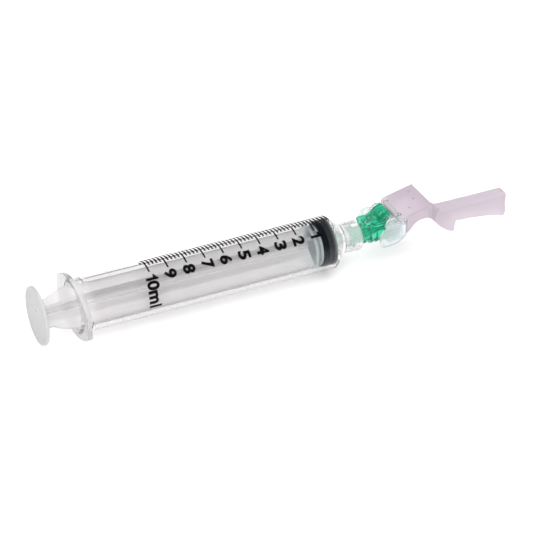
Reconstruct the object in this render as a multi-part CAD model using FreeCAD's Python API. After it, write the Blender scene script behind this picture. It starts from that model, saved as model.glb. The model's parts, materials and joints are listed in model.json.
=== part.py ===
import FreeCAD, Part
import math
import os

V = FreeCAD.Vector

# ---- driving dimensions, mm. X runs along the barrel towards the needle, X = 0 at the 0 ml line ----
SHIFT = V(16.4, 0, 9.1)        # axis frame to row frame

# barrel
BARREL_R = 8.40                # tube outside radius
BORE_R = 7.25                  # tube bore radius
BARREL_REAR = -84.3            # rear face of the finger flange
FLANGE_T = 1.5                 # flange thickness
FLANGE_HALF_Y = 13.0           # half length of the finger flange
FLANGE_HALF_Z = 9.0            # half height of the finger flange at its middle
SHOULDER_X = 1.0               # front end of the straight tube
CONE_END_X = 4.2               # front cone meets the lock collar
COLLAR_R = 4.8                 # lock collar outside radius
COLLAR_END = 10.3              # mouth of the lock collar
THREAD_ROOT_R = 4.0
THREAD_CREST_R = 3.5
THREAD_LEAD = 5.0              # double start, one turn moves the hub this far
NOZZLE_END = 12.4              # tip of the tapered nozzle
NOZZLE_TIP_R = 1.975
TAPER = 0.03                   # radius per mm, a 6 % taper on the diameter
LUMEN_R = 1.1
FLOOR_X = 4.9                  # bottom of the lock collar
BEAD_R = 7.08                  # retaining bead in the rear of the bore

# stopper
SEAL_R = 7.22
GROOVE_R = 6.1
STOPPER_REAR = -4.0
STOPPER_NOSE = 3.1

# plunger rod
PRESS_R = 9.10                 # thumb press radius
PRESS_REAR = -95.8
PRESS_FRONT = -94.7
RIB_R = 6.8
RIB_R_REAR = 4.5
RIB_T = 1.2
RIB_ANGLE = 34.0
FRONT_DISC_R = 6.9

# needle hub
HUB_MOUTH = 6.9
HUB_NOSE = 24.0
LUG_R = 3.9
LUG_T = 0.8
LUG_X = 7.5
FIN_R = 5.4
FIN_T = 1.1
CLEAR = 0.02

# cannula
NEEDLE_R = 0.41
NEEDLE_RI = 0.26
NEEDLE_TIP = 61.0

# collar and shield
PIVOT_X = 22.3
PIVOT_Z = 6.0
BAR_R = 0.50
KNUCKLE_BORE_R = 0.55
KNUCKLE_R = 0.95
DRUM_R = 4.6
HOOD_TOP = 4.9                 # top of the hood, under the shield's knuckle
HOOD_FRONT = 24.3
WING_IN_FRONT = 5.75           # inside half width of the wings at the front
WING_IN_REAR = 7.15            # and at the rear
SADDLE_HALF = 6.8
WALL = 0.85
WALL_REAR = 24.5               # rear edge of the shield's side walls
ARM_HALF = 2.2
ARM_IN = 1.3


def wire_xr(pts):
    """Closed profile in the XZ plane. A point is (x, r); ('a', mid, end) is an arc from the last point."""
    edges = []
    first = pts[0]
    last = V(first[0], 0, first[1])
    start = last
    for p in pts[1:]:
        if p[0] == 'a':
            mid = V(p[1][0], 0, p[1][1])
            end = V(p[2][0], 0, p[2][1])
            edges.append(Part.Arc(last, mid, end).toShape())
        else:
            end = V(p[0], 0, p[1])
            edges.append(Part.makeLine(last, end))
        last = end
    if last.distanceToPoint(start) > 1e-7:
        edges.append(Part.makeLine(last, start))
    return Part.Wire(edges)


def rev(pts):
    face = Part.Face(wire_xr(pts))
    s = face.revolve(V(0, 0, 0), V(1, 0, 0), 360)
    if s.Volume < 0:
        s.reverse()
    return s


def prism(pts, y0, y1):
    """Outline in X and Z, carried from y0 to y1."""
    w = wire_xr(pts)
    s = Part.Face(w).extrude(V(0, y1 - y0, 0))
    s.translate(V(0, y0, 0))
    return s


def slab(points3, vec):
    """Flat polygon of 3D points carried along a vector."""
    pp = [V(*p) for p in points3]
    s = Part.Face(Part.makePolygon(pp + [pp[0]])).extrude(V(*vec))
    return s


def xcyl(x0, x1, r):
    return Part.makeCylinder(r, x1 - x0, V(x0, 0, 0), V(1, 0, 0))


def ycyl(x, z, y0, y1, r):
    return Part.makeCylinder(r, y1 - y0, V(x, y0, z), V(0, 1, 0))


def turned(s, deg):
    c = s.copy()
    c.rotate(V(0, 0, 0), V(1, 0, 0), deg)
    return c


def mirrored_y(s):
    return s.mirror(V(0, 0, 0), V(0, 1, 0))


def nozzle_r(x):
    return NOZZLE_TIP_R + TAPER * (NOZZLE_END - x)


# ---------------------------------------------------------------- barrel
def make_barrel():
    front = BARREL_REAR + FLANGE_T
    body = rev([
        (BARREL_REAR, BORE_R + 0.35), (BARREL_REAR, BARREL_R + 0.2), (front, BARREL_R + 0.2),
        ('a', (front + 0.35, BARREL_R + 0.06), (front + 0.9, BARREL_R)),
        (0.1, BARREL_R), ('a', (0.62, BARREL_R - 0.16), (SHOULDER_X, BARREL_R - 0.6)),
        (CONE_END_X - 0.3, COLLAR_R + 0.28), ('a', (CONE_END_X - 0.02, COLLAR_R + 0.07), (CONE_END_X + 0.4, COLLAR_R)),
        (COLLAR_END - 0.2, COLLAR_R), (COLLAR_END, COLLAR_R - 0.2), (COLLAR_END, THREAD_ROOT_R + 0.15),
        (COLLAR_END - 0.15, THREAD_ROOT_R), (FLOOR_X, THREAD_ROOT_R), (FLOOR_X, nozzle_r(FLOOR_X)),
        (NOZZLE_END - 0.25, nozzle_r(NOZZLE_END - 0.25)), (NOZZLE_END, NOZZLE_TIP_R - 0.15),
        (NOZZLE_END, LUMEN_R), (3.6, LUMEN_R), (0.3, BORE_R),
        (-79.4, BORE_R), (-79.8, BEAD_R), (-80.2, BEAD_R), (-80.6, BORE_R), (BARREL_REAR + 0.5, BORE_R)])
    # finger flange: round top and bottom, straight ends
    a = V(BARREL_REAR, -12.7, 4.1)
    b = V(BARREL_REAR, 0, FLANGE_HALF_Z)
    c = V(BARREL_REAR, 12.7, 4.1)
    d = V(BARREL_REAR, FLANGE_HALF_Y, 3.3)
    e = V(BARREL_REAR, FLANGE_HALF_Y, -3.3)
    f = V(BARREL_REAR, 12.7, -4.1)
    g = V(BARREL_REAR, 0, -FLANGE_HALF_Z)
    h = V(BARREL_REAR, -12.7, -4.1)
    i = V(BARREL_REAR, -FLANGE_HALF_Y, -3.3)
    j = V(BARREL_REAR, -FLANGE_HALF_Y, 3.3)
    w = Part.Wire([Part.Arc(a, b, c).toShape(), Part.makeLine(c, d), Part.makeLine(d, e), Part.makeLine(e, f),
                   Part.Arc(f, g, h).toShape(), Part.makeLine(h, i), Part.makeLine(i, j), Part.makeLine(j, a)])
    flange = Part.Face(w).extrude(V(FLANGE_T, 0, 0))
    side = [ed for ed in flange.Edges if abs(ed.BoundBox.XLength - FLANGE_T) < 1e-6]
    flange = flange.makeFillet(0.7, side)
    rim = [ed for ed in flange.Edges if ed.BoundBox.XLength < 1e-6]
    flange = flange.makeFillet(0.35, rim)
    flange = flange.cut(xcyl(BARREL_REAR - 1, front + 1, BORE_R + 0.6))
    body = body.fuse(flange)
    # double-start thread inside the lock collar
    tube = xcyl(5.15, COLLAR_END - 0.12, THREAD_ROOT_R + 0.3).cut(xcyl(4, 12, THREAD_CREST_R - 0.2))
    hx = Part.makeHelix(THREAD_LEAD, 10.0, THREAD_ROOT_R)
    p = [V(THREAD_ROOT_R + 0.2, 0, -0.48), V(THREAD_ROOT_R + 0.2, 0, 0.48),
         V(THREAD_CREST_R, 0, 0.24), V(THREAD_CREST_R, 0, -0.24)]
    prof = Part.makePolygon(p + [p[0]])
    ridge = Part.Wire(hx).makePipeShell([prof], True, True)
    if ridge.Volume < 0:
        ridge.reverse()
    for k in (0, 180):
        r = ridge.copy()
        r.rotate(V(0, 0, 0), V(0, 0, 1), k)
        r.rotate(V(0, 0, 0), V(0, 1, 0), 90)
        # the ridge starts on -Z after the turn; bring it to the lug's angle (0 deg is +Y)
        r.rotate(V(0, 0, 0), V(1, 0, 0), 90)
        r.translate(V(LUG_X + THREAD_LEAD / 4.0 - THREAD_LEAD, 0, 0))
        body = body.fuse(r.common(tube))
    return body


# ---------------------------------------------------------------- stopper
def make_stopper():
    slope = (BORE_R - LUMEN_R) / (3.6 - 0.3)

    def cone_r(x):
        return BORE_R - slope * (x + 0.09 - 0.3)
    return rev([
        (STOPPER_REAR, 2.35), (STOPPER_REAR, 6.55), (-3.75, SEAL_R - 0.25), (-3.45, SEAL_R), (-2.35, SEAL_R),
        (-2.15, SEAL_R - 0.2), (-1.95, GROOVE_R + 0.25), ('a', (-1.55, GROOVE_R), (-1.15, GROOVE_R + 0.25)),
        (-0.95, SEAL_R - 0.2), (-0.75, SEAL_R), (0.12, SEAL_R), (0.30, cone_r(0.30)),
        (STOPPER_NOSE - 0.25, cone_r(STOPPER_NOSE - 0.25)), (STOPPER_NOSE, cone_r(STOPPER_NOSE) - 0.35),
        (STOPPER_NOSE, 0), (-1.25, 0), (-1.25, 2.6), (-2.0, 3.5), (-2.9, 3.5), (-3.15, 2.35)])


# ---------------------------------------------------------------- plunger rod
def make_rod():
    press = rev([
        (PRESS_REAR + 0.28, 0), (PRESS_REAR + 0.28, 7.7), (PRESS_REAR, 8.2), (PRESS_REAR, PRESS_R - 0.2),
        (PRESS_REAR + 0.2, PRESS_R), (PRESS_FRONT - 0.2, PRESS_R), (PRESS_FRONT, PRESS_R - 0.2), (PRESS_FRONT, 0)])
    # one of the two crossed webs
    half = [(PRESS_FRONT - 0.3, RIB_R_REAR + 0.2), (-93.8, RIB_R_REAR), (-91.8, RIB_R_REAR), (-90.0, 5.3),
            (-88.0, 6.1), (-86.0, RIB_R - 0.15), (-84.6, RIB_R), (-12.0, RIB_R), (-8.0, 6.5), (-6.5, 6.4)]
    pts = half + [(x, -r) for x, r in reversed(half)]
    web = prism(pts, -RIB_T / 2.0, RIB_T / 2.0)
    web.rotate(V(0, 0, 0), V(1, 0, 0), RIB_ANGLE)
    cross = web.fuse(turned(web, 90))
    front = rev([(-7.0, 0), (-7.0, FRONT_DISC_R - 0.15), (-6.85, FRONT_DISC_R), (-6.15, FRONT_DISC_R),
                 (-6.0, FRONT_DISC_R - 0.15), (-6.0, 5.0), (-5.0, 5.0), (-5.0, 6.3), (-4.9, 6.45), (-4.2, 6.45),
                 (-4.06, 6.3), (-4.06, 2.28), (-3.05, 2.28), (-2.80, 3.38), (-2.10, 3.38), (-1.38, 2.5), (-1.38, 0)])
    return press.fuse(cross).fuse(front)


# ---------------------------------------------------------------- needle hub
def make_hub():
    m = HUB_MOUTH
    body = rev([
        (m, nozzle_r(m) + CLEAR), (m, 3.1), (m + 0.15, 3.25), (8.0, 3.25), (8.3, 2.8), (11.8, 2.75), (11.9, 3.15),
        (12.0, 3.25), (12.4, 3.25), (12.55, 3.1), (12.6, 2.68), (12.8, 2.68),
        ('a', (13.12, 2.60), (13.3, 2.40)), (13.85, 2.40), (13.95, 3.45), (14.1, 3.6), (14.65, 3.6), (14.8, 3.45),
        (14.9, 3.1), (15.75, 3.1), (15.85, 3.45), (16.0, 3.6), (16.55, 3.6), (16.7, 3.45), (16.8, 3.15),
        (20.0, 3.15), (20.0, 2.9), (23.5, 2.9), (HUB_NOSE, 2.2), (HUB_NOSE, NEEDLE_R), (17.0, NEEDLE_R),
        (15.5, 0.9), (13.0, 1.25), (12.75, nozzle_r(12.75) + CLEAR)])
    # lock lugs
    for s in (1, -1):
        lug = Part.makeBox(LUG_T, 4.0, 3.0, V(LUG_X - LUG_T / 2.0, 0, -1.5))
        if s < 0:
            lug.rotate(V(0, 0, 0), V(1, 0, 0), 180)
        lug = lug.common(xcyl(LUG_X - 1, LUG_X + 1, LUG_R)).cut(xcyl(LUG_X - 1, LUG_X + 1, 3.0))
        body = body.fuse(lug)
    # two tall upper fins and two low lower fins
    def tall(x):
        return [(x, 2.0), (x, FIN_R - 0.25), (x + 0.25, FIN_R), (19.0, FIN_R), (19.3, FIN_R - 0.3), (19.3, 2.0)]
    low = [(12.9, 2.0), (13.1, 2.7), (14.9, 3.2), (19.3, 3.4), (19.3, 2.0)]
    for ang, pts in ((-45, tall(12.0)), (45, tall(13.2)), (135, low), (225, low)):
        fin = prism(pts, -FIN_T / 2.0, FIN_T / 2.0)
        body = body.fuse(turned(fin, ang))
    # ramp block on the top, in front of the fins
    ramp = prism([(16.9, 4.6), (16.9, 5.5), (17.7, 6.3), (18.5, 6.85), (19.3, 7.15), (20.15, 7.2), (20.15, 6.1),
                  (18.9, 5.9)], -3.15, 3.15)
    web = prism([(17.0, 2.0), (17.0, 5.0), (18.9, 6.2), (20.0, 6.3), (20.0, 2.6)], -1.0, 1.0)
    step = prism([(13.0, 2.0), (13.0, 3.6), (15.5, 5.9), (16.2, 5.9), (16.2, 2.0)], -2.1, 2.1)
    pocket = prism([(13.2, 4.6), (13.75, 4.29), (14.0, 4.11), (15.3, 5.3), (15.3, 6.5), (13.2, 6.5)], -1.35, 1.35)
    body = body.fuse(ramp).fuse(web).fuse(step.cut(pocket))
    bore = rev([(12.0, 0), (12.0, 1.0), (13.0, 1.25), (15.5, 0.9), (17.0, NEEDLE_R), (25.0, NEEDLE_R), (25.0, 0)])
    return body.cut(bore)


# ---------------------------------------------------------------- cannula and its bead
def make_cannula():
    tube = xcyl(17.3, NEEDLE_TIP, NEEDLE_R).cut(xcyl(17.0, NEEDLE_TIP + 1, NEEDLE_RI))
    bevel = prism([(57.566, 0.51), (62.0, 0.51), (62.0, -0.678)], -1, 1)
    return tube.cut(bevel)


def make_bead():
    return rev([(HUB_NOSE + 0.02, NEEDLE_R + 0.02), (HUB_NOSE + 0.02, 1.45), (HUB_NOSE + 0.35, 1.3),
                (HUB_NOSE + 0.75, 0.9), (HUB_NOSE + 1.1, 0.55), (HUB_NOSE + 1.1, NEEDLE_R + 0.02)])


# ---------------------------------------------------------------- clear collar with the hinge bar
def make_collar():
    cup = rev([(20.4, 2.9), (20.4, DRUM_R - 0.2), (20.6, DRUM_R), (24.1, DRUM_R), (HOOD_FRONT, DRUM_R - 0.2),
               (HOOD_FRONT, 3.9), (21.4, 3.9), (21.4, 3.5), (23.3, 3.5), (23.3, 2.9)])
    for y0, y1 in ((3.9, 4.8), (-4.8, -3.9)):
        post = prism([(20.4, 1.6), (20.4, 5.6), (21.45, 6.0), (23.15, 6.0), (23.15, 1.6)], y0, y1)
        eye = ycyl(PIVOT_X, PIVOT_Z, y0, y1, 0.85)
        post = post.fuse(eye).cut(xcyl(19, 25, 3.5))
        cup = cup.fuse(post)
    top = prism([(20.4, 4.0), (20.4, HOOD_TOP), (HOOD_FRONT - 0.2, HOOD_TOP), (HOOD_FRONT, HOOD_TOP - 0.2),
                 (HOOD_FRONT, 4.0)], -5.2, 5.2)
    cup = cup.fuse(top)
    # wings down both sides, flared towards the rear
    k = (WING_IN_REAR - WING_IN_FRONT) / (HOOD_FRONT - 14.75)

    def inside(x):
        return WING_IN_FRONT + k * (HOOD_FRONT - x)
    outline = [(HOOD_FRONT, 4.3), (17.2, 3.9), (16.2, 3.75), (15.5, 2.8), (14.95, 1.8), (14.75, 0.8), (14.75, -0.2), (15.05, -1.1),
               (15.65, -1.7), (16.6, -2.0), (18.5, -2.13), (20.6, -2.05), (21.7, -1.8), (22.7, -1.4), (23.5, -0.85), (HOOD_FRONT, 0.1)]
    wing = slab([(x, inside(x), z) for x, z in outline], (0, WALL, 0))
    # thicker rim along the rear edge of the wing
    rim = [(16.2, 3.75), (15.5, 2.8), (14.95, 1.8), (14.75, 0.8), (14.75, -0.2), (15.05, -1.1), (15.65, -1.7), (16.15, -1.15),
           (15.6, -0.7), (15.35, 0.0), (15.35, 0.75), (15.55, 1.6), (16.05, 2.5), (16.75, 3.5)]
    wing = wing.fuse(slab([(x, inside(x) - 0.25, z) for x, z in rim], (0, WALL + 0.5, 0)))
    # side panel beside the hinge, and the shoulder that joins it to the wing
    panel = prism([(HOOD_FRONT, 3.4), (HOOD_FRONT, 4.9), (24.1, 5.05), (21.4, 5.05), (21.2, 5.9), (19.2, 6.1), (18.5, 5.7),
                   (18.0, 5.0), (17.7, 4.2), (17.6, 3.4)], 4.75, 5.55)
    a, b, c, d = (HOOD_FRONT, 5.2, 5.05), (HOOD_FRONT, 6.4, 4.35), (16.6, 7.35, 3.5), (18.1, 5.2, 5.2)
    wing = wing.fuse(panel).fuse(slab([a, b, c], (0, 0, -0.8))).fuse(slab([a, c, d], (0, 0, -0.8)))
    cup = cup.fuse(wing).fuse(mirrored_y(wing))
    return cup.fuse(ycyl(PIVOT_X, PIVOT_Z, -4.3, 4.3, BAR_R))


# ---------------------------------------------------------------- shield
def make_shield():
    def top_z(x):
        return 6.3 + (x - 21.8) * (8.95 - 6.3) / (32.9 - 21.8)
    # finger plate
    plate = prism([(21.8, top_z(21.8)), (32.9, top_z(32.9)), (33.0, 8.1), (32.7, 7.85), (22.0, 5.32), (21.8, 5.4)],
                  -SADDLE_HALF, SADDLE_HALF)
    for y0, y1 in ((3.75, 4.95), (-4.95, -3.75)):
        plate = plate.cut(Part.makeBox(4.0, y1 - y0, 4.0, V(19.4, y0, 4.0)))
    for sgn in (1, -1):
        plate = plate.cut(slab([(21.7, sgn * 6.1, 3.0), (23.1, sgn * 6.9, 3.0), (21.7, sgn * 6.9, 3.0)], (0, 0, 6.0)))
    knuckle = ycyl(PIVOT_X, PIVOT_Z, -3.75, 3.75, KNUCKLE_R)
    body = plate.fuse(knuckle)
    # side walls
    front = [(WALL_REAR, 6.8), (32.9, 8.9), (33.3, 6.4), (32.7, 3.9), (31.5, 4.5), (30.2, 4.6), (28.6, 4.3),
             (27.1, 3.4), (25.4, 1.6), (WALL_REAR, 0.6)]
    wall = slab([(x, SADDLE_HALF - WALL, z) for x, z in front], (0, WALL, 0))
    # cheek that leads the side wall in to the arm
    t1 = slab([(32.6, 5.95, 8.6), (37.6, 1.4, 2.6), (32.6, 5.95, 3.9)], (0, 0.85, 0))
    t2 = slab([(37.6, 1.4, 2.6), (32.6, 5.95, 3.9), (36.9, 1.4, -0.4)], (0, 0.85, 0))
    side = wall.fuse(t1).fuse(t2)
    body = body.fuse(side).fuse(mirrored_y(side))
    # front ramp from the ridge down to the arm
    ramp = slab([(32.9, -SADDLE_HALF, 8.95), (32.9, SADDLE_HALF, 8.95), (37.9, ARM_HALF, 2.9), (37.9, -ARM_HALF, 2.9)],
                (-0.70, 0, -0.57))
    body = body.fuse(ramp)
    # arm: a channel open below, closed at its tip
    arm = prism([(35.5, 3.0), (36.9, 3.9), (37.9, 3.35), (44.4, 3.15), (53.5, 3.05), (61.2, 3.2), (62.3, 2.85),
                 (62.75, 1.9), (62.35, -0.75), (63.0, -3.2), (62.8, -4.4), (62.1, -5.1), (60.9, -5.1), (59.0, -4.35),
                 (54.5, -3.5), (49.5, -2.9), (46.0, -2.75), (44.5, -2.4), (44.05, -4.5), (44.0, -5.9), (43.6, -6.25),
                 (42.8, -6.1), (40.95, -5.0), (38.9, -3.45), (36.45, -0.65), (35.9, 1.0)], -ARM_HALF, ARM_HALF)
    # crowned top and rounded tip
    for sgn in (1, -1):
        edge = slab([(38.6, sgn * 1.1, 3.5), (38.6, sgn * 2.4, 1.75), (38.6, sgn * 2.4, 3.5)], (26.0, 0, 0))
        lead = slab([(38.6, sgn * 1.1, 3.5), (38.6, sgn * 2.4, 1.75), (38.6, sgn * 2.4, 3.5)], (-1.8, sgn * 0.9, 0.9))
        tip = slab([(61.9, sgn * 2.25, -7.0), (63.2, sgn * 1.3, -7.0), (63.2, sgn * 2.25, -7.0)], (0, 0, 11.0))
        arm = arm.cut(edge).cut(lead).cut(tip)
    hollow = prism([(33.0, 2.3), (37.0, 2.4), (44.4, 2.25), (53.5, 2.15), (61.0, 2.25), (61.9, 1.8), (61.9, -9.0),
                    (33.0, -9.0)], -ARM_IN, ARM_IN)
    body = body.fuse(arm).cut(hollow)
    # small moulded dots on the finger plate
    for x, y in ((30.3, 3.8), (30.05, 0.0), (26.9, -3.3)):
        z = top_z(x)
        dot = Part.makeCone(0.55, 0.35, 0.45, V(x, y, z - 0.2), V(-0.232, 0, 0.973))
        body = body.fuse(dot)
    body = body.cut(ycyl(PIVOT_X, PIVOT_Z, -9.0, 9.0, KNUCKLE_BORE_R).common(
        Part.makeBox(4, 8.2, 4, V(PIVOT_X - 2, -4.1, PIVOT_Z - 2))))
    return body


def save(name, shape):
    s = shape.removeSplitter() if name not in ("barrel",) else shape
    if len(s.Solids) != 1:
        raise ValueError("%s has %d solids" % (name, len(s.Solids)))
    s = s.Solids[0]
    s.translate(SHIFT)
    bb = s.BoundBox
    print("%-16s valid %s vol %9.3f  X %.2f %.2f  Y %.2f %.2f  Z %.2f %.2f" % (
        name, s.isValid(), s.Volume, bb.XMin, bb.XMax, bb.YMin, bb.YMax, bb.ZMin, bb.ZMax))
    s.exportStep("parts/%s.step" % name)
    return s


os.makedirs("parts", exist_ok=True)
save("barrel", make_barrel())
save("stopper", make_stopper())
save("plunger_rod", make_rod())
save("needle_hub", make_hub())
save("cannula", make_cannula())
save("needle_adhesive", make_bead())
save("shield_collar", make_collar())
save("safety_shield", make_shield())
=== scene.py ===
import json
import math

import bmesh
import bpy
from mathutils import Matrix, Vector

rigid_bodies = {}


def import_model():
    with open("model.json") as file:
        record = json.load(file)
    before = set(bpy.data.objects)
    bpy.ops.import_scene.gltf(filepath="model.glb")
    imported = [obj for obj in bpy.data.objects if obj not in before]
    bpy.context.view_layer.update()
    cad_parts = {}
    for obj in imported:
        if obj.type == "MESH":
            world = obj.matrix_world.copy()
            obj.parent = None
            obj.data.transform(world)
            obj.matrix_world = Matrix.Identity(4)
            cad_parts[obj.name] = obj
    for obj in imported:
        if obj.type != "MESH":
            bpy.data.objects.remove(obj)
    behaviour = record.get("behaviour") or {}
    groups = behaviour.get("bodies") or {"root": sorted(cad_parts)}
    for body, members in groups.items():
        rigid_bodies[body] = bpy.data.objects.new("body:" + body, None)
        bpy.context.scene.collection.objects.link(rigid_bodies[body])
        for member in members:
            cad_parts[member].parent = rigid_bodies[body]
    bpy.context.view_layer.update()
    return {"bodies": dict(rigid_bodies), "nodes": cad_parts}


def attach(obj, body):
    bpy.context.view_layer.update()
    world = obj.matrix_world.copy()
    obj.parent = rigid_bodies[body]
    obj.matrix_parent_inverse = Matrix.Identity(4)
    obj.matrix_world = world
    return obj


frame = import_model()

# ---------------------------------------------------------------- frame
# Row frame in metres. The barrel's axis runs along X at y = 0, z = AXIS_Z, and the 0 ml line is at X0.
MM = 0.001
X0 = 16.4
AXIS_Z = 9.1
BARREL_R = 8.40
ML = 6.056                      # length of one millilitre on the scale, mm
NODES = frame["nodes"]
BODIES = frame["bodies"]
coll = bpy.context.scene.collection


# ---------------------------------------------------------------- camera
AZ = math.radians(24.94)
EL = math.radians(33.40)
EYE = Vector((-274.34 + X0, -545.68, 393.50 + AXIS_Z)) * MM
right = Vector((math.cos(AZ), -math.sin(AZ), 0))
fwd = Vector((math.cos(EL) * math.sin(AZ), math.cos(EL) * math.cos(AZ), -math.sin(EL)))
up = right.cross(fwd)
cam_data = bpy.data.cameras.new("camera")
cam = bpy.data.objects.new("camera", cam_data)
coll.objects.link(cam)
rot = Matrix((right, up, -fwd)).transposed()
cam.matrix_world = Matrix.Translation(EYE) @ rot.to_4x4()
cam_data.sensor_fit = "HORIZONTAL"
cam_data.sensor_width = 36.0
cam_data.lens = 2345.0 / 533.0 * 36.0
cam_data.clip_start = 0.01
cam_data.clip_end = 50
cam_data.dof.use_dof = False
bpy.context.scene.camera = cam


# ---------------------------------------------------------------- materials
def new_mat(name):
    m = bpy.data.materials.new(name)
    m.use_nodes = True
    m.node_tree.nodes.clear()
    return m, m.node_tree.nodes, m.node_tree.links


def put(node, **values):
    for key, val in values.items():
        node.inputs[key.replace("_", " ")].default_value = val


def noise_bump(nt, links, scale, detail, strength, distance, stretch=(1, 1, 1)):
    """Object-space noise through a Bump node. Returns the Bump node."""
    tc = nt.new("ShaderNodeTexCoord")
    mp = nt.new("ShaderNodeMapping")
    mp.inputs["Scale"].default_value = stretch
    ns = nt.new("ShaderNodeTexNoise")
    put(ns, Scale=scale, Detail=detail, Roughness=0.55)
    bp = nt.new("ShaderNodeBump")
    put(bp, Strength=strength, Distance=distance)
    links.new(tc.outputs["Object"], mp.inputs["Vector"])
    links.new(mp.outputs["Vector"], ns.inputs["Vector"])
    links.new(ns.outputs["Fac"], bp.inputs["Height"])
    return bp, ns


def rough_range(nt, links, ns, low, high):
    mr = nt.new("ShaderNodeMapRange")
    put(mr, From_Min=0.35, From_Max=0.65, To_Min=low, To_Max=high)
    links.new(ns.outputs["Fac"], mr.inputs["Value"])
    return mr.outputs["Result"]


def let_lamps_pass(nt, links, p, out, share, tint):
    tr = nt.new("ShaderNodeBsdfTransparent")
    tr.inputs["Color"].default_value = (*tint, 1)
    lp = nt.new("ShaderNodeLightPath")
    mul = nt.new("ShaderNodeMath")
    mul.operation = "MULTIPLY"
    mul.inputs[1].default_value = share
    mx = nt.new("ShaderNodeMixShader")
    links.new(lp.outputs["Is Shadow Ray"], mul.inputs[0])
    links.new(mul.outputs[0], mx.inputs["Fac"])
    links.new(p.outputs["BSDF"], mx.inputs[1])
    links.new(tr.outputs["BSDF"], mx.inputs[2])
    links.new(mx.outputs[0], out.inputs["Surface"])


def clear_plastic(name, colour, rough, ior, transmission, bump=(600, 0.05, 0.00002), let_light=0.8, tint=None,
                  rough_spread=0.04, stretch=(1, 1, 1), coat=0.0, bumpy=True):
    """Moulded see-through plastic. Lamps pass it, so that its shadow stays as pale as the real one."""
    m, nt, links = new_mat(name)
    out = nt.new("ShaderNodeOutputMaterial")
    p = nt.new("ShaderNodeBsdfPrincipled")
    put(p, Base_Color=(*colour, 1), Roughness=rough, IOR=ior, Transmission_Weight=transmission)
    if coat:
        put(p, Coat_Weight=coat, Coat_Roughness=0.08)
    bp, ns = noise_bump(nt, links, bump[0], 3.0, bump[1], bump[2], stretch)
    if bumpy:
        links.new(bp.outputs["Normal"], p.inputs["Normal"])
    links.new(rough_range(nt, links, ns, max(0.0, rough - rough_spread), rough + rough_spread), p.inputs["Roughness"])
    let_lamps_pass(nt, links, p, out, let_light, tint or colour)
    return m, p


def solid_mat(name, colour, rough, bump=(500, 0.1, 0.00005), metallic=0.0, spread=0.06, stretch=(1, 1, 1)):
    m, nt, links = new_mat(name)
    out = nt.new("ShaderNodeOutputMaterial")
    p = nt.new("ShaderNodeBsdfPrincipled")
    put(p, Base_Color=(*colour, 1), Metallic=metallic, Roughness=rough)
    bp, ns = noise_bump(nt, links, bump[0], 4.0, bump[1], bump[2], stretch)
    links.new(bp.outputs["Normal"], p.inputs["Normal"])
    links.new(rough_range(nt, links, ns, rough - spread, rough + spread), p.inputs["Roughness"])
    links.new(p.outputs["BSDF"], out.inputs["Surface"])
    return m, p


def along(nt, links, points, axis="X"):
    """Value that changes along the part's own length, or its height: (place from 0 to 1, value) points, straight between them."""
    tc = nt.new("ShaderNodeTexCoord")
    sp = nt.new("ShaderNodeSeparateXYZ")
    links.new(tc.outputs["Generated"], sp.inputs[0])
    cr = nt.new("ShaderNodeValToRGB")
    els = cr.color_ramp.elements
    while len(els) > 1:
        els.remove(els[-1])
    for i, (pos, val) in enumerate(points):
        e = els[0] if i == 0 else els.new(pos)
        e.position = pos
        e.color = (val, val, val, 1) if not isinstance(val, tuple) else (*val, 1)
    links.new(sp.outputs[axis], cr.inputs["Fac"])
    return cr.outputs["Color"]


m_barrel, p_barrel = clear_plastic("clear_barrel", (0.84, 0.825, 0.825), 0.05, 1.20, 1.0,
                                   let_light=1.0, tint=(0.99, 0.985, 0.985),
                                   rough_spread=0.02, stretch=(0.3, 1, 1), bumpy=False)
nt, links = m_barrel.node_tree.nodes, m_barrel.node_tree.links
# the finger flange is thick and a little milky, the tube clear; the tube's colour is painted paler on its lower side
# and darker towards its top, painted floor light below and painted shade above
links.new(along(nt, links, [(0.0, 0.66), (0.018, 0.70), (0.03, 0.88), (0.06, 1.0), (0.862, 1.0), (0.882, 0.80), (1.0, 0.82)]),
          p_barrel.inputs["Transmission Weight"])
hue = nt.new("ShaderNodeMix")
hue.data_type = "RGBA"
links.new(along(nt, links, [(0.0, 0.0), (0.018, 0.0), (0.035, 1.0), (0.90, 1.0), (0.94, 0.6), (1.0, 0.6)]), hue.inputs[0])
hue.inputs[6].default_value = (0.66, 0.655, 0.655, 1)
links.new(along(nt, links, [(0.0, (0.97, 0.96, 0.965)), (0.3, (0.965, 0.955, 0.96)), (0.55, (0.94, 0.93, 0.93)),
                            (0.8, (0.90, 0.892, 0.892)), (0.95, (0.73, 0.725, 0.725))], "Z"), hue.inputs[7])
links.new(hue.outputs[2], p_barrel.inputs["Base Color"])
m_rubber, p_rubber = solid_mat("black_rubber", (0.0024, 0.0042, 0.0060), 0.34, bump=(900, 0.10, 0.00002))
p_rubber.inputs["Specular IOR Level"].default_value = 0.22
nt, links = m_rubber.node_tree.nodes, m_rubber.node_tree.links
# painted highlight: the groove between the two sealing rings is painted greyer, standing in for the reflections it
# catches
links.new(along(nt, links, [(0.0, (0.0024, 0.0042, 0.0060)), (0.22, (0.0024, 0.0042, 0.0060)), (0.28, (0.040, 0.048, 0.054)),
                            (0.42, (0.040, 0.048, 0.054)), (0.48, (0.0024, 0.0042, 0.0060))]), p_rubber.inputs["Base Color"])
m_hub, p_hub = clear_plastic("green_plastic", (0.06, 0.62, 0.36), 0.10, 1.38, 0.92, bump=(500, 0.04, 0.00002),
                             let_light=0.92, tint=(0.95, 0.98, 0.97))
nt, links = m_hub.node_tree.nodes, m_hub.node_tree.links
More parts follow.
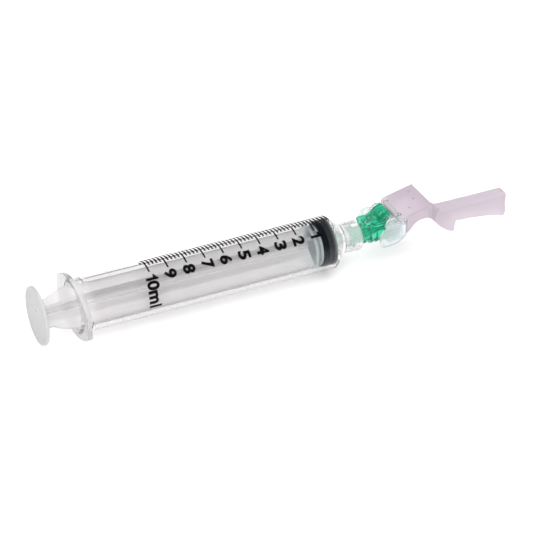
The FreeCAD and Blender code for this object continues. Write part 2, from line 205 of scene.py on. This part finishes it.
# the socket in the lock collar is thinner and paler
links.new(along(nt, links, [(0.0, (0.22, 0.70, 0.53)), (0.20, (0.20, 0.69, 0.51)), (0.38, (0.12, 0.66, 0.45)),
                            (0.48, (0.055, 0.60, 0.36)), (1.0, (0.055, 0.60, 0.36))]), p_hub.inputs["Base Color"])
m_steel, _ = solid_mat("needle_steel", (0.70, 0.71, 0.73), 0.22, bump=(1500, 0.08, 0.00001), metallic=1.0,
                       stretch=(0.05, 1, 1))
m_bead, _ = clear_plastic("resin_bead", (0.93, 0.95, 0.93), 0.10, 1.5, 0.9)
m_collar, _ = clear_plastic("clear_collar", (0.79, 0.83, 0.84), 0.22, 1.26, 0.78, let_light=0.85,
                            tint=(0.96, 0.975, 0.975), bump=(400, 0.05, 0.00002))
m_shield, p_shield = clear_plastic("pink_plastic", (0.60, 0.54, 0.59), 0.40, 1.36, 0.50, bump=(160, 0.08, 0.00004),
                                   let_light=0.70, tint=(0.98, 0.96, 0.98))
nt, links = m_shield.node_tree.nodes, m_shield.node_tree.links
# painted light: the rear end round the hinge knuckle, which faces down and back away from the lamps, is painted
# lighter; the colour is darker over the saddle and paler again along the arm
links.new(along(nt, links, [(0.0, (0.60, 0.57, 0.60)), (0.06, (0.57, 0.52, 0.565)), (0.14, (0.555, 0.485, 0.545)),
                            (0.27, (0.555, 0.485, 0.545)), (0.36, (0.62, 0.555, 0.612)), (1.0, (0.65, 0.585, 0.642))]), p_shield.inputs["Base Color"])
m_ink, p_ink = solid_mat("scale_ink", (0.002, 0.002, 0.002), 0.6, bump=(1200, 0.1, 0.00001))
p_ink.inputs["Specular IOR Level"].default_value = 0.12


def milky_rod():
    """Milky rod: dense at the thumb press, thinner along the ribs; the rib edges are painted darker and more opaque,
    painted shade for their narrow edge faces.
    """
    m, nt, links = new_mat("milky_plastic")
    out = nt.new("ShaderNodeOutputMaterial")
    p = nt.new("ShaderNodeBsdfPrincipled")
    put(p, Roughness=0.32, IOR=1.40)
    bp, ns = noise_bump(nt, links, 420, 3.0, 0.05, 0.00002)
    links.new(bp.outputs["Normal"], p.inputs["Normal"])
    links.new(rough_range(nt, links, ns, 0.27, 0.37), p.inputs["Roughness"])
    # rib edges, far from the rod's axis between the flange and the front disc, get painted shade
    tc = nt.new("ShaderNodeTexCoord")
    mid = nt.new("ShaderNodeVectorMath")
    mid.operation = "SUBTRACT"
    mid.inputs[1].default_value = (0.0, 0.5, 0.5)
    flat = nt.new("ShaderNodeVectorMath")
    flat.operation = "MULTIPLY"
    flat.inputs[1].default_value = (0.0, 1.0, 1.0)
    far = nt.new("ShaderNodeVectorMath")
    far.operation = "LENGTH"
    links.new(tc.outputs["Generated"], mid.inputs[0])
    links.new(mid.outputs[0], flat.inputs[0])
    links.new(flat.outputs[0], far.inputs[0])
    rim = nt.new("ShaderNodeMapRange")
    put(rim, From_Min=0.335, From_Max=0.350, To_Min=0.0, To_Max=1.0)
    links.new(far.outputs["Value"], rim.inputs["Value"])
    where = nt.new("ShaderNodeMath")
    where.operation = "MULTIPLY"
    links.new(rim.outputs["Result"], where.inputs[0])
    links.new(along(nt, links, [(0.0, 0.0), (0.13, 0.0), (0.15, 1.0), (0.92, 1.0), (0.93, 0.0)]), where.inputs[1])
    painted_rib_shade = nt.new("ShaderNodeMix")
    painted_rib_shade.data_type = "RGBA"
    links.new(where.outputs[0], painted_rib_shade.inputs[0])
    links.new(along(nt, links, [(0.0, (0.455, 0.455, 0.452)), (0.012, (0.45, 0.45, 0.45)), (0.020, (0.45, 0.44, 0.445)),
                                (0.12, (0.50, 0.49, 0.495)), (0.15, (0.54, 0.53, 0.535)), (0.92, (0.54, 0.545, 0.55)),
                                (0.95, (0.55, 0.62, 0.64))]), painted_rib_shade.inputs[6])
    painted_rib_shade.inputs[7].default_value = (0.37, 0.38, 0.39, 1)
    links.new(painted_rib_shade.outputs[2], p.inputs["Base Color"])
    lift = nt.new("ShaderNodeMath")
    lift.operation = "MULTIPLY_ADD"
    lift.inputs[1].default_value = 0.22
    links.new(where.outputs[0], lift.inputs[0])
    links.new(along(nt, links, [(0.0, 0.92), (0.012, 0.9), (0.020, 0.55), (0.12, 0.48), (0.15, 0.44), (0.92, 0.44),
                                (0.95, 0.42)]), lift.inputs[2])
    links.new(lift.outputs[0], p.inputs["Alpha"])
    let_lamps_pass(nt, links, p, out, 0.85, (0.97, 0.97, 0.97))
    return m


m_rod = milky_rod()


def dress(node, mat):
    o = NODES[node]
    if not o.material_slots:
        o.data.materials.append(mat)
    for s in o.material_slots:
        s.material = mat


for node, mat in (("barrel", m_barrel), ("plunger_rod", m_rod), ("stopper", m_rubber), ("needle_hub", m_hub),
                  ("cannula", m_steel), ("needle_adhesive", m_bead), ("shield_collar", m_collar),
                  ("safety_shield", m_shield)):
    dress(node, mat)


# ---------------------------------------------------------------- printed scale
# Angles are measured about the barrel's axis from +Y towards +Z; print reads round the barrel with +X upwards.
INK_IN = -0.004
INK_OUT = 0.022


def on_barrel(x_mm, ang, dr):
    r = BARREL_R + dr
    return Vector(((x_mm + X0) * MM, r * math.cos(ang) * MM, (AXIS_Z + r * math.sin(ang)) * MM))


def link_mesh(name, bm, mat):
    bmesh.ops.recalc_face_normals(bm, faces=bm.faces)
    me = bpy.data.meshes.new(name)
    bm.to_mesh(me)
    bm.free()
    me.materials.append(mat)
    ob = bpy.data.objects.new(name, me)
    coll.objects.link(ob)
    return ob


def add_bar(bm, x_mm, width, a0, a1):
    """One printed line round the barrel, a closed thin band."""
    n = max(2, int(abs(a1 - a0) / 2.0))
    rings = []
    for i in range(n + 1):
        a = math.radians(a0 + (a1 - a0) * i / n)
        rings.append([bm.verts.new(on_barrel(x_mm - width / 2, a, INK_IN)),
                      bm.verts.new(on_barrel(x_mm + width / 2, a, INK_IN)),
                      bm.verts.new(on_barrel(x_mm + width / 2, a, INK_OUT)),
                      bm.verts.new(on_barrel(x_mm - width / 2, a, INK_OUT))])
    for i in range(n):
        for k in range(4):
            bm.faces.new((rings[i][k], rings[i][(k + 1) % 4], rings[i + 1][(k + 1) % 4], rings[i + 1][k]))
    bm.faces.new(rings[0][::-1])
    bm.faces.new(rings[-1])


TICK_TOP = 48.0
TICK_SHORT = 93.5
TICK_LONG = 112.0
TICK_W = 0.52
bm = bmesh.new()
for k in range(0, 51):
    x = -ML * k / 5.0
    if k % 5 == 0 and k > 0:
        add_bar(bm, x, TICK_W, TICK_TOP, TICK_LONG)
    else:
        add_bar(bm, x, TICK_W, TICK_TOP, TICK_SHORT)
marks = link_mesh("scale_marks", bm, m_ink)
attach(marks, "barrel")


ONE = [[(0.22, 0.0), (1.02, 0.0), (1.02, 3.9), (0.45, 3.9), (0.22, 3.4)],
       [(-0.78, 2.38), (0.22, 2.38), (0.22, 3.4), (-0.78, 2.92)]]


def wrap_glyph(g, x_mm, ang_deg):
    """Cuts flat print into narrow strips, thickens it and lays it round the barrel."""
    lo, hi = min(v.co.x for v in g.verts), max(v.co.x for v in g.verts)
    x = lo + 0.2
    while x < hi:
        bmesh.ops.bisect_plane(g, geom=g.verts[:] + g.edges[:] + g.faces[:], plane_co=(x, 0, 0), plane_no=(1, 0, 0))
        x += 0.2
    r = bmesh.ops.extrude_face_region(g, geom=g.faces[:])
    for e in r["geom"]:
        if isinstance(e, bmesh.types.BMVert):
            e.co.z = 1.0
    a0 = math.radians(ang_deg)
    for v in g.verts:
        dr = INK_OUT if v.co.z > 0.5 else INK_IN
        v.co = on_barrel(x_mm + v.co.y, a0 + v.co.x / BARREL_R, dr)
    return g


def one(height, x_mm, ang_deg):
    g = bmesh.new()
    k = height / 3.9
    for piece in ONE:
        g.faces.new([g.verts.new(((x - 0.2) * k, (y - 1.95) * k, 0)) for x, y in piece])
    g.normal_update()
    return wrap_glyph(g, x_mm, ang_deg)


def glyph(text, height, x_mm, ang_deg, width, bold=0.21):
    if text == "1":
        return one(height, x_mm, ang_deg)
    cu = bpy.data.curves.new("txt", "FONT")
    cu.body = text
    cu.size = height / 0.73
    cu.offset = bold
    cu.resolution_u = 5
    tmp = bpy.data.objects.new("txt", cu)
    coll.objects.link(tmp)
    bpy.context.view_layer.update()
    me = bpy.data.meshes.new_from_object(tmp.evaluated_get(bpy.context.evaluated_depsgraph_get()))
    bpy.data.objects.remove(tmp)
    bpy.data.curves.remove(cu)
    g = bmesh.new()
    g.from_mesh(me)
    bpy.data.meshes.remove(me)
    bmesh.ops.remove_doubles(g, verts=g.verts, dist=1e-5)
    xs = [v.co.x for v in g.verts]
    ys = [v.co.y for v in g.verts]
    cx = (min(xs) + max(xs)) / 2
    tall = height * (0.76 if text == "m" else 1.0)
    s = tall / (max(ys) - min(ys))
    for v in g.verts:
        v.co.x = (v.co.x - cx) * width / (max(xs) - min(xs))
        v.co.y = (v.co.y - min(ys)) * s - height / 2
    return wrap_glyph(g, x_mm, ang_deg)


def add_text(name, items):
    bm = bmesh.new()
    tmp = bpy.data.meshes.new("tmp")
    for it in items:
        g = glyph(*it)
        g.to_mesh(tmp)
        g.free()
        bm.from_mesh(tmp)
    bpy.data.meshes.remove(tmp)
    ob = link_mesh(name, bm, m_ink)
    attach(ob, "barrel")
    return ob


digits = []
for k in range(1, 10):
    digits.append((str(k), 3.9, -ML * k, 127.0 if k > 1 else 123.5, 2.95))
add_text("scale_numerals", digits)
add_text("scale_unit", [("1", 3.9, -60.5, 125.8, 1.5), ("0", 3.9, -60.7, 142.5, 2.9), ("m", 3.9, -60.8, 167.0, 4.2),
                        ("l", 3.9, -60.8, 188.0, 0.78)])


# ---------------------------------------------------------------- floor and light
m_floor, nt, links = new_mat("pale_floor")
out = nt.new("ShaderNodeOutputMaterial")
p = nt.new("ShaderNodeBsdfPrincipled")
put(p, Base_Color=(0.93, 0.93, 0.93, 1), Roughness=0.7)
links.new(p.outputs["BSDF"], out.inputs["Surface"])
bm = bmesh.new()
bmesh.ops.create_grid(bm, x_segments=1, y_segments=1, size=3.0)
floor = link_mesh("floor", bm, m_floor)

world = bpy.data.worlds.new("studio")
bpy.context.scene.world = world
world.use_nodes = True
bg = world.node_tree.nodes["Background"]
bg.inputs["Color"].default_value = (1, 1, 1, 1)
bg.inputs["Strength"].default_value = 0.22


def area(name, pos, target, size, watts, glossy, colour=(1, 1, 1)):
    d = bpy.data.lights.new(name, "AREA")
    d.shape = "RECTANGLE"
    d.size, d.size_y = size
    d.energy = watts
    d.color = colour
    o = bpy.data.objects.new(name, d)
    coll.objects.link(o)
    v = Vector(target) - Vector(pos)
    o.rotation_euler = v.to_track_quat("-Z", "Y").to_euler()
    o.location = pos
    o.visible_glossy = glossy
    o.visible_transmission = glossy
    return o


area("overhead", (0.0, 0.1, 1.2), (0, 0, 0), (2.4, 2.4), 30.0, False)
area("front", (-0.35, -0.95, 0.75), (0, 0, 0), (1.4, 0.8), 16.0, False)
area("strip_back", (0.0, 0.9, 0.55), (0, 0, 0), (1.2, 0.10), 0.6, True)

bpy.context.scene.view_settings.view_transform = "Standard"
bpy.context.scene.view_settings.look = "None"
